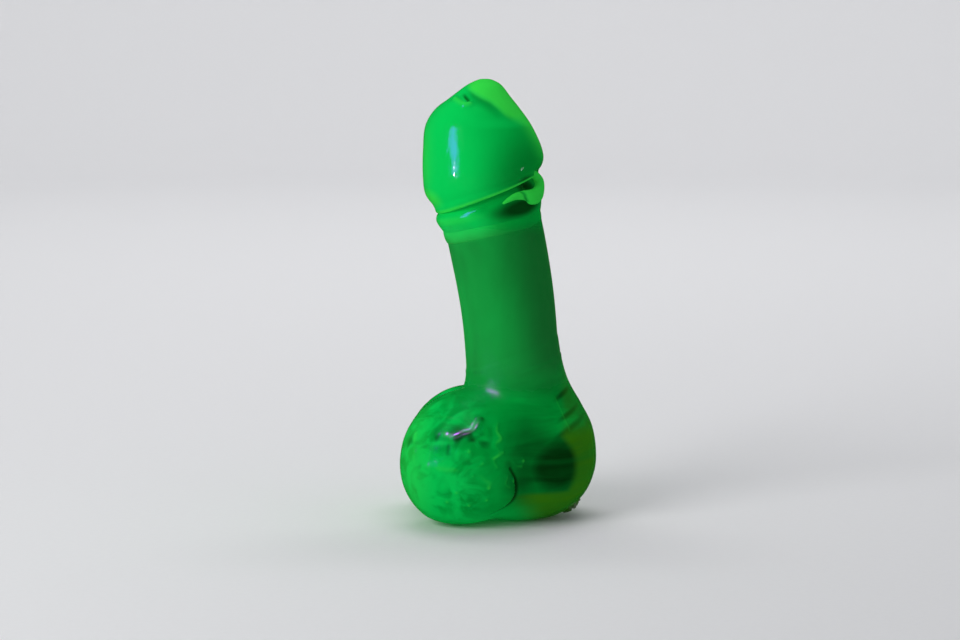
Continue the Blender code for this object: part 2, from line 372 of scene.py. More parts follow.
def lobe_relief(points, side, seed):
    """The tooled front of a lobe, drawn for the near side: clumps, pleats, trails and beads of glass, with
    painted shade in its hollows.
    """
    draw = np.random.default_rng(seed)
    seeds = draw.uniform((-34, -34, 8), (12, -14, 48), size=(100, 3))
    clumps = np.clip(cells(points, seeds) / 3.0, 0, 1)
    clumps = clumps * clumps * (3 - 2 * clumps)
    worked = near(points, (-14.0, -26.0, 31.0), (20.0, 15.0, 12.0))
    lines = np.zeros(len(points))
    for line, height, width in RAISED:
        lines += ridge(points, laid(line, body, side), height, width)
    for bead in laid(BEADS, body, side)[::LINE_STEPS]:
        lines += bump(points, bead, 0.55, 0.8)
    dips = np.zeros(len(points))
    for centre, radius in DIMPLES:
        dips += bump(points, laid([centre], body, side)[0], 0.5, radius)
    dips += ridge(points, laid(PLEAT_SHADOW, body, side), 0.5, 1.0)
    dips += ridge(points, laid(HOLLOW, body, side), 0.7, 1.1)
    pleat = ridge(points, laid(PLEAT, body, side), 1.0, 1.0)
    crease = ridge(points, laid(CREASE, body, side), 1.0, 0.6)
    crease *= near(points, (6.0, -24.4, 12.0), (10.0, 10.0, 11.0))
    from_disc = np.linalg.norm(points - laid([DISC_CENTRE], body, side)[0], axis=1)
    disc = 0.9 * rising(DISC_RADIUS - from_disc, 2.0) * rising(points[:, 0] + 3.0, 0.6)
    height = worked * (0.4 * clumps - 0.3) + lines + pleat + disc - dips - crease
    # Painted shade: the dimples, the pleat and its shadow, the hollow, the crease and the borders between
    # clumps go dark.
    tint = worked * (0.3 * clumps - 0.2) + 0.95 * lines - 0.5 * pleat - 0.8 * dips - 0.9 * crease
    return height, tint


def body_relief(points):
    """What the tools left on the body: its height over the smooth fused surface, and its tint with painted
    light and shade.
    """
    x, y, z = points.T
    height, tint = 0.16 * ripple(points, 26.0, seed=3), np.zeros(len(points))
    base = rising(47.0 - z, 0.9)
    for side, share, seed in ((1.0, 1.0, 11), (-1.0, 0.8, 29)):
        here = (side * y < 4.0) & (z < 56.0)
        fade = share * base[here] * rising(-side * y[here], 1.2)
        mirrored = points[here] * (1.0, side, 1.0)
        part_height, part_tint_light_and_shade = lobe_relief(mirrored, side, seed)
        for line in HEEL_FLOW:
            part_height += ridge(mirrored, laid(line, body, side), 0.3, 1.5)
        # A low ridge along this line, tinted lighter as a painted highlight.
        highlight_line = ridge(mirrored, laid(HIGHLIGHT_LINE, body, side), 1.0, 0.5)
        part_height += 0.15 * highlight_line
        part_tint_light_and_shade += 0.35 * highlight_line
        height[here] += fade * part_height
        tint[here] += fade * part_tint_light_and_shade
    weld = z - WELD_Z - WELD_RISE * x
    height += rising(x - 6.0, 0.5) * (0.12 * band(weld, -0.9, 0.8) - 0.1 * band(weld, 0, 0.5))
    return height, tint


# ---------------------------------------------------------------------------------------------------
# The head, collar, trail, fold and scar.

# Places along the head's and the collar's sections, counted in sections from the lowest.
RIM_PLACE = 1.1
UNDER_RIM_PLACE = 1.75
ROLL_PLACE = 2.2
GROOVE_PLACE = 3.6
SLIT = ((-12.0, -5.8, 145.3), (-10.9, -8.4, 144.2), (-9.7, -10.6, 143.1))
SLIT_LIP = ((-14.4, -7.2, 143.4), (-12.9, -9.8, 142.2), (-11.3, -11.6, 141.4), (-9.8, -12.0, 141.6))
CAP_EDGE = (
    (-9.2, -9.4, 145.4), (-6.2, -9.6, 145.2), (-3.0, -9.8, 144.2), (0.2, -10.8, 141.4), (3.0, -12.0, 138.4),
)
FOLD_NOTCH = ((7.9, -14.8, 113.4), (8.8, -14.6, 111.5), (9.3, -13.6, 109.4))


def head(points):
    return lofted(points, HEAD_SECTIONS)[0]


def head_relief(points):
    place = lofted(points, HEAD_SECTIONS)[1]
    rim = band(place, RIM_PLACE, 0.22)
    lip = ridge(points, laid(SLIT_LIP, head), 1.0, 1.35)
    slit = ridge(points, laid(SLIT, head), 1.2, 0.8) * near(points, (-10.9, -8.3, 144.3), (2.4, 3.2, 2.4))
    height = 0.5 * rim - 0.2 * band(place, UNDER_RIM_PLACE, 0.35) + 0.2 * ripple(points, 30.0, seed=5)
    height += lip - slit + ridge(points, laid(CAP_EDGE, head), 0.25, 1.6)
    # Painted light on the rim and the slit's lip, painted shade in the slit.
    return height, 0.9 * rim + 0.6 * lip - 0.55 * slit


def collar(points):
    return lofted(points, COLLAR_SECTIONS)[0]


def collar_relief(points):
    place = lofted(points, COLLAR_SECTIONS)[1]
    left = rising(-6.0 - points[:, 0], 0.3)
    roll = band(place, ROLL_PLACE, 0.7)
    groove = band(place, GROOVE_PLACE, 0.45)
    pocket = bump(points, FOLD_POCKET, 1.4, 2.6)
    height = left * (0.6 * roll - 0.5 * groove) + 0.2 * ripple(points, 13.0, seed=8) - pocket
    # Painted light on the roll to the left, painted shade in the groove and the fold's pocket.
    return height, left * (0.5 * roll - 0.3 * groove) - 0.5 * pocket


def trail(points):
    """A lens-shaped ring, laid round the neck and tilted like the collar."""
    tilt = math.radians(TRAIL_TILT)
    x = points[:, 0] - column_x(TRAIL_Z)
    z = points[:, 2] - TRAIL_Z
    along = x * math.cos(tilt) + z * math.sin(tilt)
    up = z * math.cos(tilt) - x * math.sin(tilt)
    turn = np.arctan2(points[:, 1], along)
    up = up - 0.7 * np.sin(2 * turn + 0.6) - 0.3 * np.sin(3 * turn)
    out = np.hypot(along / 1.015, points[:, 1]) - NECK_RADIUS + 0.25
    thick = TRAIL_HALF_HEIGHT * (0.85 - 0.25 * np.cos(turn) + 0.05 * np.sin(turn * 5))
    reach = np.hypot(out / thick, up / TRAIL_HALF_WIDTH) + 1e-9
    return reach * (reach - 1) / (np.hypot(out / thick**2, up / TRAIL_HALF_WIDTH**2) + 1e-9)


def fold(points):
    """Round cones along the fold's line, run together."""
    rows = smooth_rows([(*place, radius) for place, radius in FOLD_LINE])
    total = np.full(len(points), 1e3)
    for start, end in zip(rows, rows[1:]):
        run = end[:3] - start[:3]
        t = np.clip((points - start[:3]) @ run / (run @ run), 0, 1)
        away = np.linalg.norm(points - start[:3] - t[:, None] * run, axis=1)
        total = join(total, away - start[3] - (end[3] - start[3]) * t, 0.3)
    return total


def trail_relief(points):
    # Painted light: the trail's tint rises towards -X.
    return np.zeros(len(points)), 0.1 + 0.25 * rising(2.0 - points[:, 0], 0.25)


def fold_relief(points):
    notch = ridge(points, laid(FOLD_NOTCH, fold), 0.4, 0.9)
    # The whole fold turns lime; its notch is painted dark as shade.
    return -notch, 1.0 - 1.6 * notch


def scar(points):
    return ellipsoid(points, **SCAR)


def scar_relief(points):
    draw = np.random.default_rng(17)
    centre = np.array(SCAR["centre"])
    seeds = draw.uniform(centre - 5, centre + 5, size=(40, 3))
    height = 0.7 * np.clip(cells(points, seeds) / 1.4, 0, 1) - 0.55 + 0.15 * ripple(points, 2.2, seed=6)
    return height, np.zeros(len(points))


# ---------------------------------------------------------------------------------------------------
# Meshing: a regular grid, one vertex in each cell that the surface crosses, then moved on to the surface.


# The grid is first sampled in blocks of this many cells a side, and finely only near the surface.
BLOCK = 6


def grid_surface(field, low, high, step):
    """Vertices and quads where the field is zero."""
    low = np.array(low)
    blocks = np.ceil((np.array(high) - low) / (step * BLOCK)).astype(int)
    block = np.argwhere(np.ones(blocks, bool))
    coarse = field(low + (block + 0.5) * BLOCK * step)
    values = np.repeat(coarse.reshape(blocks).astype(np.float32), BLOCK, axis=0)
    values = np.repeat(np.repeat(values, BLOCK, axis=1), BLOCK, axis=2)
    close = block[np.abs(coarse) < 2.0 * BLOCK * step]
    for corner in np.ndindex(BLOCK, BLOCK, BLOCK):
        fine = close * BLOCK + np.array(corner)
        values[tuple(fine.T)] = field(low + fine * step)
    inside = values < 0
    size = np.array(values.shape) - 1
    filled = np.zeros(size, np.int8)
    for corner in np.ndindex(2, 2, 2):
        filled += inside[tuple(slice(c, c + n) for c, n in zip(corner, size))]
    cell = np.argwhere((filled > 0) & (filled < 8))
    number = np.full(size, -1)
    number[tuple(cell.T)] = np.arange(len(cell))

    total, count = np.zeros((len(cell), 3)), np.zeros(len(cell))
    for axis in range(3):
        for offset in np.ndindex(2, 2, 2):
            if offset[axis]:
                continue
            start = cell + np.array(offset)
            end = start.copy()
            end[:, axis] += 1
            a, b = values[tuple(start.T)], values[tuple(end.T)]
            crossed = (a < 0) != (b < 0)
            place = start.astype(float)
            place[:, axis] += np.where(crossed, a / np.where(crossed, a - b, 1), 0)
            total[crossed] += place[crossed]
            count += crossed
    vertices = low + total / count[:, None] * step

    quads = []
    for axis in range(3):
        first, second = [other for other in range(3) if other != axis]
        ahead = np.take(inside, range(1, inside.shape[axis]), axis=axis)
        behind = np.take(inside, range(inside.shape[axis] - 1), axis=axis)
        edge = np.argwhere(ahead != behind)
        edge = edge[(edge[:, first] > 0) & (edge[:, second] > 0)]
        around = []
        for back_first, back_second in ((1, 1), (0, 1), (0, 0), (1, 0)):
            owner = edge.copy()
            owner[:, first] -= back_first
            owner[:, second] -= back_second
            around.append(number[tuple(owner.T)])
        ring = np.stack(around, axis=1)
        outwards = behind[tuple(edge.T)] ^ (axis == 1)
        quads.append(np.where(outwards[:, None], ring, ring[:, ::-1]))
    return vertices, np.concatenate(quads)


def relaxed(vertices, quads):
    """Each vertex halfway to the mean of its neighbours, which evens out the quads."""
    total, count = np.zeros_like(vertices), np.zeros(len(vertices))
    for a, b in ((0, 1), (1, 2), (2, 3), (3, 0)):
        np.add.at(total, quads[:, a], vertices[quads[:, b]])
        np.add.at(count, quads[:, a], 1)
        np.add.at(total, quads[:, b], vertices[quads[:, a]])
        np.add.at(count, quads[:, b], 1)
    return (vertices + total / count[:, None]) / 2


def slope(field, vertices, value):
    small = 0.05
    result = np.empty_like(vertices)
    for axis in range(3):
        shift = np.zeros(3)
        shift[axis] = small
        result[:, axis] = (field(vertices + shift) - value) / small
    return result


def settled(vertices, field, step):
    """Vertices moved down the field's slope on to its zero surface."""
    for _ in range(2):
        value = field(vertices)
        rise = slope(field, vertices, value)
        move = value / np.maximum((rise**2).sum(axis=1), 0.2)
        length = np.abs(move) * np.linalg.norm(rise, axis=1)
        move *= np.minimum(1, step / np.maximum(length, 1e-9))
        vertices = vertices - move[:, None] * rise
    return vertices


def shell(field, relief, low, high, step):
    """The mesh of a field, raised by its relief: vertices, quads and the tint at each vertex."""
    vertices, quads = grid_surface(field, low, high, step)
    for _ in range(2):
        vertices = settled(relaxed(vertices, quads), field, step)
    outwards = slope(field, vertices, field(vertices))
    outwards /= np.linalg.norm(outwards, axis=1)[:, None]
    height, tint = relief(vertices)
    vertices = vertices + outwards * height[:, None]
    vertices[:, 2] = np.maximum(vertices[:, 2], 0.0)
    return vertices, quads, tint


def as_mesh(name, vertices, quads, tint):
    mesh = bpy.data.meshes.new(name)
    mesh.from_pydata((vertices * MM).tolist(), [], quads.tolist())
    mesh.attributes.new("tint", "FLOAT", "POINT").data.foreach_set("value", tint.astype(np.float32))
    mesh.shade_smooth()
    return mesh


def piece(name, mesh, nodes, material):
    thing = bpy.data.objects.new(name, mesh)
    bpy.context.scene.collection.objects.link(thing)
    mesh.materials.clear()
    mesh.materials.append(material)
    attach(thing, "root")
    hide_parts(*nodes)


def parted(mesh, name, planes):
    """A copy of a closed mesh, kept on the inner side of each (point, normal) plane and capped there."""
    shape = bmesh.new()
    shape.from_mesh(mesh)
    for point, normal in planes:
        everything = shape.verts[:] + shape.edges[:] + shape.faces[:]
        cut = bmesh.ops.bisect_plane(
            shape, geom=everything, dist=1e-7, plane_co=Vector(point) * MM, plane_no=normal, clear_outer=True
        )
        rim = [part for part in cut["geom_cut"] if isinstance(part, bmesh.types.BMEdge)]
        bmesh.ops.holes_fill(shape, edges=rim, sides=0)
        for edge in rim:
            edge.smooth = False
    wide = [face for face in shape.faces if len(face.verts) > 4]
    bmesh.ops.triangulate(shape, faces=wide)
    made = bpy.data.meshes.new(name)
    shape.to_mesh(made)
    shape.free()
    return made


def padded(box, margin):
    """A box in metres as a larger one in millimetres."""
    low, high = box
    return [v / MM - margin for v in low], [v / MM + margin for v in high]


# ---------------------------------------------------------------------------------------------------
# Materials. One colour field runs through all the glass, so it carries on across the welds.


class Nodes:
    """Short names for adding shader nodes to a material."""

    def __init__(self, name):
        self.material = bpy.data.materials.new(name)
        self.material.use_nodes = True
        self.tree = self.material.node_tree
        self.shader = self.tree.nodes["Principled BSDF"]
        place = self.tree.nodes.new("ShaderNodeTexCoord").outputs["Object"]
        scale = self.tree.nodes.new("ShaderNodeVectorMath")
        scale.operation = "SCALE"
        scale.inputs["Scale"].default_value = 1 / MM
        self.tree.links.new(place, scale.inputs[0])
        self.place = scale.outputs[0]
        split = self.tree.nodes.new("ShaderNodeSeparateXYZ")
        self.tree.links.new(self.place, split.inputs[0])
        self.x, self.y, self.z = split.outputs
        tint = self.tree.nodes.new("ShaderNodeAttribute")
        tint.attribute_name = "tint"
        self.tint = tint.outputs["Fac"]

    def put(self, value, socket):
        if isinstance(value, bpy.types.NodeSocket):
            self.tree.links.new(value, socket)
        else:
            socket.default_value = value

    def math(self, operation, a, b=0.0):
        node = self.tree.nodes.new("ShaderNodeMath")
        node.operation = operation
        for value, socket in zip((a, b), node.inputs):
            self.put(value, socket)
        return node.outputs[0]

    def add(self, a, b):
        return self.math("ADD", a, b)

    def times(self, a, b):
        return self.math("MULTIPLY", a, b)

    def most(self, a, b):
        return self.math("MAXIMUM", a, b)

    def ramp(self, value, start, end, low=0.0, high=1.0):
        """low up to start, high from end, and a smooth step between."""
        node = self.tree.nodes.new("ShaderNodeMapRange")
        node.interpolation_type = "SMOOTHSTEP"
        self.put(value, node.inputs[0])
        for number, socket in zip((start, end, low, high), node.inputs[1:5]):
            socket.default_value = number
        return node.outputs[0]

    def stretched(self, scale, offset):
        node = self.tree.nodes.new("ShaderNodeMapping")
        self.put(self.place, node.inputs["Vector"])
        node.inputs["Scale"].default_value = scale
        node.inputs["Location"].default_value = offset
        return node.outputs[0]

    def noise(self, scale, detail, distortion=0.0, offset=(0.0, 0.0, 0.0)):
        """Noise with a scale for each axis, in cycles for each millimetre."""
        node = self.tree.nodes.new("ShaderNodeTexNoise")
        self.put(self.stretched(scale, offset), node.inputs["Vector"])
        node.inputs["Scale"].default_value = 1.0
        node.inputs["Detail"].default_value = detail
        node.inputs["Distortion"].default_value = distortion
        return node.outputs["Fac"]

    def blob(self, centre, radii, soft=0.35, slant=0.0):
        """1 in an ellipsoid, fading out over its soft edge. With a slant it rises towards +X."""
        total = 0.0
        level = self.add(self.z, self.times(self.add(self.x, -centre[0]), -slant))
        for value, middle, radius in zip((self.x, self.y, level), centre, radii):
            along = self.times(self.add(value, -middle), 1 / radius)
            total = self.add(self.times(along, along), total)
        return self.ramp(self.math("SQRT", total), 1 - soft, 1 + soft, 1.0, 0.0)

    def mix(self, amount, a, b):
        node = self.tree.nodes.new("ShaderNodeMix")
        node.data_type = "RGBA"
        colours = [socket for socket in node.inputs if socket.type == "RGBA"]
        self.put(amount, node.inputs[0])
        for value, socket in zip((a, b), colours):
            self.put(value, socket)
        return [socket for socket in node.outputs if socket.type == "RGBA"][0]

    def bump(self, height, strength, distance):
        node = self.tree.nodes.new("ShaderNodeBump")
        node.inputs["Strength"].default_value = strength
        node.inputs["Distance"].default_value = distance
        self.put(height, node.inputs["Height"])
        self.put(node.outputs[0], self.shader.inputs["Normal"])


# The glass's greens. Masks below also use BRIGHT and LIME as painted light and SHADE and DARK as painted
# shade; each says where.
GREEN = (0.0, 0.36, 0.045, 1.0)
BRIGHT = (0.002, 0.56, 0.085, 1.0)
LIME = (0.035, 0.68, 0.06, 1.0)
SHADE = (0.0, 0.15, 0.016, 1.0)
DARK = (0.001, 0.02, 0.002, 1.0)
OLIVE = (0.034, 0.17, 0.002, 1.0)
CHIP = (0.15, 0.2, 0.12, 1.0)


# Dark slanted streaks in the flare over the heel, each a centre and its radii.
FLARE_STREAKS = (
    ((21.6, 0.0, 44.4), (2.6, 30.0, 1.1)),
    ((23.6, 0.0, 38.0), (3.4, 30.0, 1.1)),
    ((24.4, 0.0, 33.6), (4.6, 30.0, 1.3)),
)


def head_colour(n, colour, wander):
    """The cap glows more, from thicker glass; painted light brightens the left, the lower-left rim and the
    outline; painted shade lies low on the right and under the cap.
    """
    # Painted light: above the rim, bright on the left fading to green on the right.
    above_rim = n.ramp(n.add(n.z, n.times(n.x, -0.37)), 110.5, 115.5)
    colour = n.mix(above_rim, colour, n.mix(n.ramp(n.x, -16.0, 12.0), BRIGHT, GREEN))
    # Painted shade low on the right.
    low_right_shade = n.blob((13.0, -14.0, 119.0), (15.0, 16.0, 11.0), 0.6)
    colour = n.mix(n.times(low_right_shade, 0.6), colour, SHADE)
    cap = n.add(n.add(n.z, n.times(n.x, 0.55)), n.times(wander, 0.35))
    cap = n.add(cap, n.ramp(n.x, -3.0, 4.0, 0.0, 1.7))
    # Painted shade in a band under the cap, beside the slit.
    under_cap_shade = n.times(n.ramp(cap, 136.4, 140.0), n.ramp(cap, 140.2, 141.4, 1.0, 0.0))
    beside_slit = n.times(n.ramp(n.x, -12.0, -8.0), n.ramp(n.x, -4.0, 2.0, 1.0, 0.1))
    colour = n.mix(n.times(n.times(under_cap_shade, beside_slit), 0.55), colour, SHADE)
    # Lime on the cap, and a painted rim glow along the right outline.
    right_rim_glow = n.times(n.ramp(n.math("ABSOLUTE", n.y), 1.0, 13.0, 1.0, 0.0), n.ramp(n.x, 2.0, 8.0))
    right_rim_glow = n.times(right_rim_glow, n.ramp(n.z, 118.0, 135.0))
    on_cap = n.times(n.ramp(cap, 139.6, 142.6), n.ramp(n.x, -11.5, -8.5))
    colour = n.mix(n.times(n.most(on_cap, right_rim_glow), 0.9), colour, LIME)
    level = n.add(n.z, n.ramp(n.x, -15.0, -6.0, -2.6, 0.0))
    arc = n.times(n.ramp(level, 133.4, 135.2), n.ramp(level, 135.8, 138.6, 1.0, 0.0))
    arc = n.times(arc, n.times(n.ramp(n.x, -16.0, -10.0), n.ramp(n.x, 4.0, 12.0, 1.0, 0.0)))
    colour = n.mix(n.times(arc, 0.55), colour, BRIGHT)
    # Painted rim glow along the left outline, and a painted highlight at the lower-left rim.
    left_rim_glow = n.ramp(n.add(n.x, n.times(wander, 0.3)), -25.0, -20.0, 1.0, 0.0)
    left_rim_glow = n.times(left_rim_glow, n.ramp(n.z, 108.0, 120.0))
    left_rim_glow = n.times(left_rim_glow, n.ramp(n.math("ABSOLUTE", n.y), 0.0, 19.0, 0.9, 0.1))
    left_rim_glow = n.times(left_rim_glow, n.ramp(n.z, 124.0, 142.0, 1.0, 0.0))
    low_left_highlight = n.blob((-24.0, -4.0, 108.6), (5.0, 12.0, 4.4), 0.5)
    return n.mix(n.most(n.times(left_rim_glow, 0.55), n.times(low_left_highlight, 0.9)), colour, LIME)


def neck_colour(n, colour):
    """Under the rim: painted light on the left, painted shade under the fold and in its pocket."""
    colour = n.mix(n.times(n.blob((-15.0, -6.0, 102.6), (14.0, 20.0, 6.0)), 0.85), colour, BRIGHT)
    # Painted shade under the fold and in its pocket, kept off the fold itself.
    under_fold_shade = n.blob((8.5, -15.0, 108.0), (9.5, 9.0, 3.0), 0.5, slant=0.2)
    pocket = n.blob((10.6, -12.0, 115.2), (4.4, 4.4, 2.6), 0.4)
    bare = n.ramp(n.tint, 0.3, 0.5, 0.9, 0.0)
    return n.mix(n.times(n.most(under_fold_shade, pocket), bare), colour, DARK)


def column_colour(n, colour):
    """Long faint cords in the glass, and painted shade towards +X, so it is brighter on the left."""
    here = n.times(n.ramp(n.z, 46.0, 56.0), n.ramp(n.z, 98.0, 106.0, 1.0, 0.0))
    cords = n.noise((0.10, 0.10, 0.010), detail=2.0, distortion=0.2)
    colour = n.mix(n.times(n.times(here, n.ramp(cords, 0.45, 0.75)), 0.25), colour, SHADE)
    # Painted shade: darker towards +X, away from the key lamp.
    across = n.add(n.x, n.ramp(n.z, 50.0, 100.0, 0.0, 7.0))
    return n.mix(n.times(here, n.ramp(across, 2.0, 18.0, 0.0, 0.85)), colour, SHADE)


def heel_colour(n, colour, wander):
    """Layers of clear, darker glass, painted shade in a dark pool at the front, an olive rim and foot and a
    bright underside.
    """
    layers = n.noise((0.025, 0.04, 0.15), detail=3.0, distortion=0.7)
    heel = n.times(n.ramp(n.x, -3.0, 10.0), n.ramp(n.z, 44.0, 58.0, 1.0, 0.0))
    colour = n.mix(n.times(heel, 0.8), colour, n.mix(n.ramp(layers, 0.30, 0.74), SHADE, GREEN))
    # Painted shade: a dark pool over the heel's front, deepest towards +X.
    deep = n.blob((20.5, -19.0, 21.0), (11.5, 30.0, 9.6), 0.5)
    shallow_shade = n.times(n.blob((8.0, -22.0, 24.0), (13.0, 30.0, 13.0), 0.45), 0.7)
    shade_pool = n.times(n.times(n.most(deep, shallow_shade), heel), n.ramp(layers, 0.34, 0.66, 1.0, 0.88))
    colour = n.mix(shade_pool, colour, DARK)
    beside = n.ramp(n.math("ABSOLUTE", n.y), 2.0, 10.0, 0.0, 0.75)
    for centre, radii in FLARE_STREAKS:
        colour = n.mix(n.times(n.blob(centre, radii, 0.6, slant=0.55), beside), colour, DARK)
    over = n.math("MINIMUM", n.add(n.z, -20.0), 11.0)
    edge = n.add(n.add(n.x, n.times(wander, 0.3)), n.times(n.times(over, over), 0.04))
    rim = n.times(n.ramp(edge, 24.8, 28.2), n.ramp(n.z, 29.0, 37.0, 1.0, 0.3))
    foot = n.ramp(n.add(n.z, n.times(wander, 0.25)), 11.0, 13.2, 1.0, 0.0)
    foot = n.times(foot, n.ramp(n.x, 0.0, 15.0))
    olive = n.mix(n.ramp(layers, 0.36, 0.7, 0.0, 0.45), OLIVE, SHADE)
    colour = n.mix(n.times(n.times(n.most(rim, foot), heel), 0.9), colour, olive)
    underside = n.times(n.ramp(n.z, 2.0, 9.0, 1.0, 0.0), n.ramp(n.x, 2.0, 18.0, 1.0, 0.0))
    return n.mix(n.times(underside, 0.8), colour, BRIGHT)


def lobe_colour(n, colour):
    """Painted light towards the key lamp: brighter, in paler clouds to the outside, and less bright towards
    the heel and foot.
    """
    # Painted light on the -X side, broken into clouds like the tooled glass, lime at the outer edge.
    here = n.times(n.ramp(n.x, -14.0, 3.0, 1.0, 0.0), n.ramp(n.z, 40.0, 48.0, 1.0, 0.0))
    clouds = n.noise((0.09, 0.09, 0.11), detail=4.0, distortion=1.2, offset=(3.0, 7.0, 1.0))
    colour = n.mix(n.times(here, n.ramp(clouds, 0.35, 0.62, 0.0, 0.85)), colour, BRIGHT)
    return n.mix(n.times(n.times(here, n.ramp(n.x, -20.0, -30.0)), 0.25), colour, LIME)


def glass_colour(n):
    """The colour of all the glass, from where each point lies and how it was tooled, with painted light and
    shade.
    """
    drift = n.noise((0.045, 0.045, 0.03), detail=3.0, distortion=0.4)
    wander = n.times(n.add(drift, -0.5), 9.0)
    colour = n.mix(n.ramp(drift, 0.30, 0.72, 0.6, 1.0), SHADE, GREEN)
    colour = head_colour(n, colour, wander)
    colour = neck_colour(n, colour)
    colour = column_colour(n, colour)
    colour = heel_colour(n, colour, wander)
    colour = lobe_colour(n, colour)
    # A high tint turns lime, partly as painted light; a low one turns dark, as painted shade in hollows,
    # grooves and creases.
    colour = n.mix(n.ramp(n.tint, 0.1, 0.9, 0.0, 0.65), colour, LIME)
    return n.mix(n.ramp(n.tint, -0.1, -0.8, 0.0, 0.85), colour, DARK)


def glass(name, roughness, glow):
    """Glowing glass, glossy but for the satin column."""
    n = Nodes(name)
    colour = glass_colour(n)
    shader = n.shader.inputs
    n.put(colour, shader["Base Color"])
    n.put(colour, shader["Emission Color"])
    shader["Emission Strength"].default_value = glow
    smear = n.noise((0.12, 0.12, 0.05), detail=3.0, offset=(5.0, 2.0, 9.0))
    satin = n.times(n.ramp(n.z, 38.0, 58.0), n.ramp(n.z, 96.0, 104.0, 0.45, 0.0))
    n.put(n.add(n.ramp(smear, 0.3, 0.8, roughness, roughness + 0.09), satin), shader["Roughness"])
    shader["IOR"].default_value = 1.5
    shader["Specular IOR Level"].default_value = 0.3
    shader["Specular Tint"].default_value = (0.8, 0.9, 1.0, 1.0)
    shader["Sheen Weight"].default_value = 0.25
    shader["Sheen Roughness"].default_value = 0.3
    shader["Sheen Tint"].default_value = (0.06, 0.9, 0.10, 1.0)
    waves = n.noise((0.22, 0.22, 0.14), detail=2.0, distortion=0.3)
    n.bump(waves, strength=0.35, distance=0.6 * MM)
    return n.material


def chipped_glass(name):
    n = Nodes(name)
    grain = n.noise((0.9, 0.9, 0.9), detail=5.0)
    colour = n.mix(n.ramp(grain, 0.35, 0.7), OLIVE, CHIP)
    shader = n.shader.inputs
    n.put(colour, shader["Base Color"])
    n.put(colour, shader["Emission Color"])
    shader["Emission Strength"].default_value = 0.04
    n.put(n.ramp(grain, 0.3, 0.7, 0.35, 0.7), shader["Roughness"])
    n.bump(grain, strength=0.6, distance=0.6 * MM)
    return n.material


def pale_paper(name, colour):
    n = Nodes(name)
    fibre = n.noise((0.5, 0.5, 0.5), detail=4.0)
    darker = tuple(0.97 * c for c in colour)
    n.put(n.mix(fibre, (*darker, 1.0), (*colour, 1.0)), n.shader.inputs["Base Color"])
    n.shader.inputs["Roughness"].default_value = 0.9
    n.shader.inputs["Specular IOR Level"].default_value = 0.0
    return n.material


# ---------------------------------------------------------------------------------------------------
# Pieces.

# The step of each grid, in millimetres.
BODY_STEP = 0.5
HEAD_STEP = 0.34
WRAP_STEP = 0.35
FOLD_STEP = 0.28
SCAR_STEP = 0.25


def make_body():
    """The fused body, parted into the column, the heel and the two lobes."""
    low, high = padded(CAD_BOX, 2.0)
    fused = as_mesh("body", *shell(body, body_relief, low, high, BODY_STEP))
    above = ((0, 0, WELD_Z), (WELD_RISE, 0, -1))
    below = ((0, 0, WELD_Z), (-WELD_RISE, 0, 1))
    x, y, z = LOBE_WELD_POINT
    away_x, away_y, _ = LOBE_WELD_NORMAL
    welds = {side: ((x, side * y, z), (away_x, side * away_y, 0)) for side in (-1, 1)}
    column_mesh = parted(fused, "column", [above])
    column_glass = glass("column_glass", roughness=0.07, glow=0.16)
    piece("column", column_mesh, ["column_core"], column_glass)
    base_glass = glass("base_glass", roughness=0.06, glow=0.16)
    heel_mesh = parted(fused, "heel", [below, welds[-1], welds[1]])
    piece("heel", heel_mesh, ["root_gather"], base_glass)
    for node, side in (("near_lobe", -1), ("far_lobe", 1)):
        point, (normal_x, normal_y, _) = welds[side]
        outside = (point, (-normal_x, -normal_y, 0))
        middle = ((0, 0, 0), (0, -side, 0))
        mesh = parted(fused, node + "_glass", [below, outside, middle])
        piece(node + "_glass", mesh, [node], base_glass)
    bpy.data.meshes.remove(fused)


def make_wraps():
    wrap_glass = glass("wrap_glass", roughness=0.06, glow=0.24)
    for name, field, relief, node, margin, step in (
        ("collar", collar, collar_relief, "collar_wrap", 4.0, WRAP_STEP),
        ("trail", trail, trail_relief, "neck_trail", 3.0, WRAP_STEP),
        ("fold", fold, fold_relief, "fold_bit", 4.0, FOLD_STEP),
    ):
        low, high = padded(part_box(node), margin)
        mesh = as_mesh(name, *shell(field, relief, low, high, step))
        piece(name, mesh, [node], wrap_glass)


def make_head():
    low, high = padded(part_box("head_gather"), 2.0)
    mesh = as_mesh("head", *shell(head, head_relief, low, high, HEAD_STEP))
    head_glass = glass("head_glass", roughness=0.06, glow=0.2)
    piece("head", mesh, ["head_gather"], head_glass)


def make_scar():
    low, high = padded(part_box("pontil_scar"), 2.0)
    mesh = as_mesh("scar", *shell(scar, scar_relief, low, high, SCAR_STEP))
    piece("scar", mesh, ["pontil_scar"], chipped_glass("scar_glass"))


# ---------------------------------------------------------------------------------------------------
# Studio, in metres.

FLOOR_RADIUS = 1.5
FLOOR_GAP = 0.1 * MM
BEND = 0.5
BEND_STEPS = 16
WALL_TOP = 1.6
WALL_SIDES = 96

WHITE = (1.0, 1.0, 1.0)
VIOLET = (0.13, 0.0, 1.0)
PALE_VIOLET = (0.8, 0.6, 1.0)
LOW_VIOLET = (0.5, 0.12, 1.0)
MAGENTA = (0.75, 0.08, 1.0)
COOL = (0.9, 0.9, 1.0)

# The soft lamps: name, place, what they face (None for the figure), size and watts.
SOFT_LAMPS = (
    ("key", (-0.62, -0.55, 0.50), None, (0.5, 0.5), 4.2),
    ("top", (0.0, 0.1, 0.9), None, (0.8, 0.8), 1.6),
    ("fill", (0.9, -0.5, 0.35), None, (0.6, 0.6), 0.3),
    ("backdrop_wash", (0.0, 0.6, 1.5), (0.0, 1.9, 0.3), (1.8, 0.5), 16.0),
)

